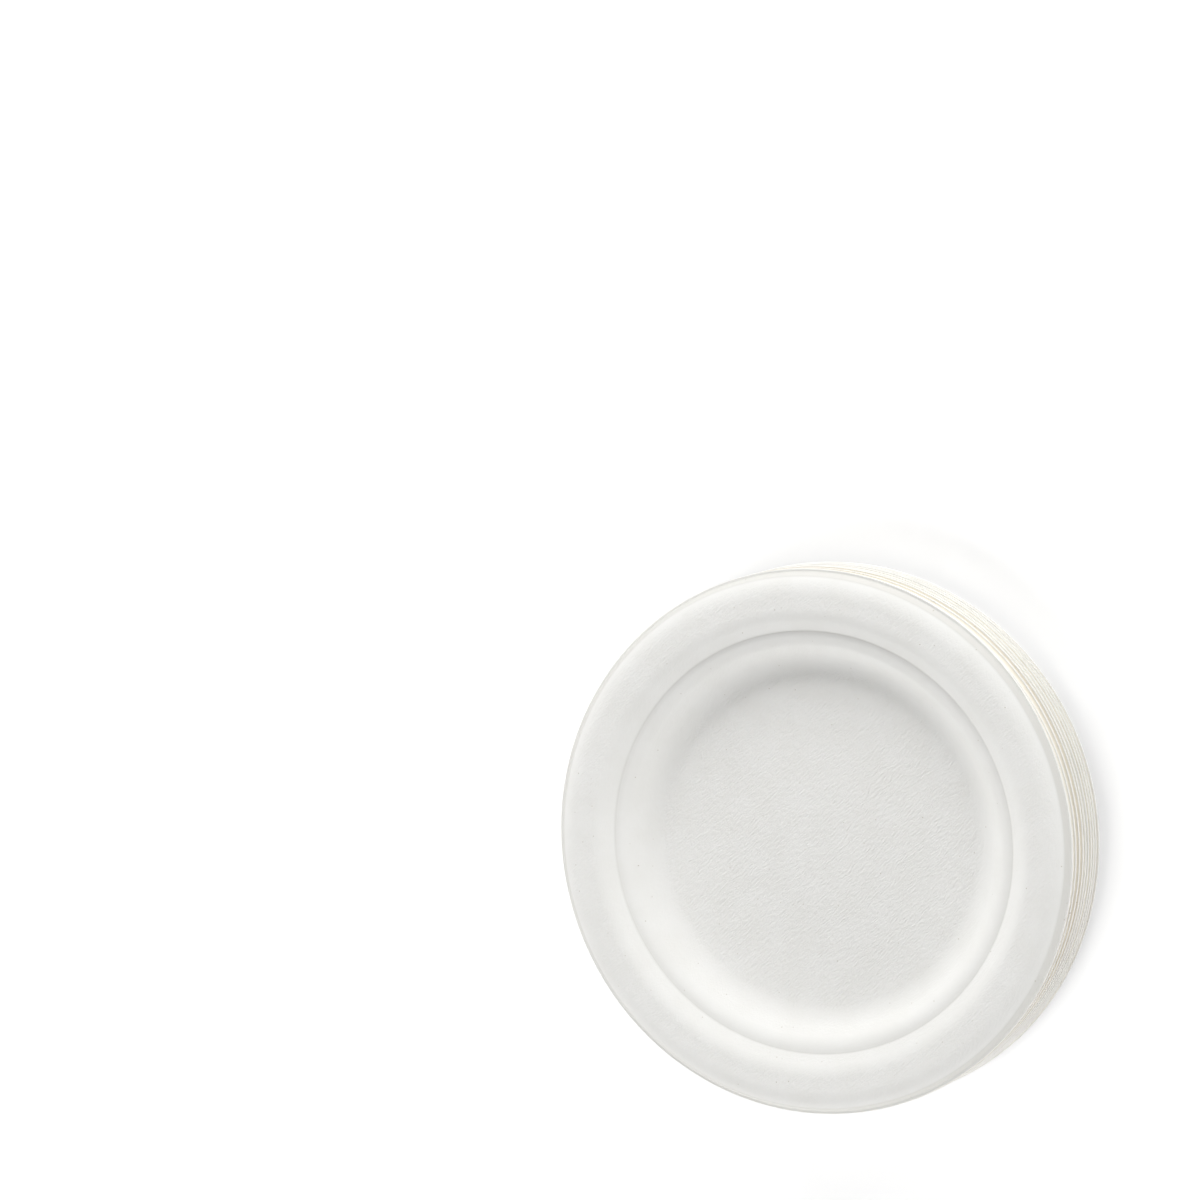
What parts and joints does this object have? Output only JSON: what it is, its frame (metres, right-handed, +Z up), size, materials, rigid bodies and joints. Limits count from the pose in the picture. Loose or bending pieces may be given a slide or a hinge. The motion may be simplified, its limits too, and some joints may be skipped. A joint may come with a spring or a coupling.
{
  "type": "stack of round moulded fibre plates",
  "caption": "Nested stack of round disposable moulded-fibre plates with a flat-floored well, a narrow shelf, a crowned rim and a small flat lip, lying flat.",
  "frame": {"origin": "middle of the bottom plate's flat base, on the surface that the stack stands on", "axes": "+Z up along the plates' common axis, out of the top plate's well; +X towards the side on which the picture shows the plates' edges"},
  "size_m": [0.1552, 0.1555, 0.0323],
  "materials": {
    "moulded_fibre": "matt off-white pressed plant fibre with a fine felt-like texture"
  },
  "bodies": {
    "root": {"plate_01": "moulded_fibre", "plate_02": "moulded_fibre", "plate_03": "moulded_fibre", "plate_04": "moulded_fibre", "plate_05": "moulded_fibre", "plate_06": "moulded_fibre", "plate_07": "moulded_fibre", "plate_08": "moulded_fibre", "plate_09": "moulded_fibre", "plate_10": "moulded_fibre"}
  },
  "joints": []
}
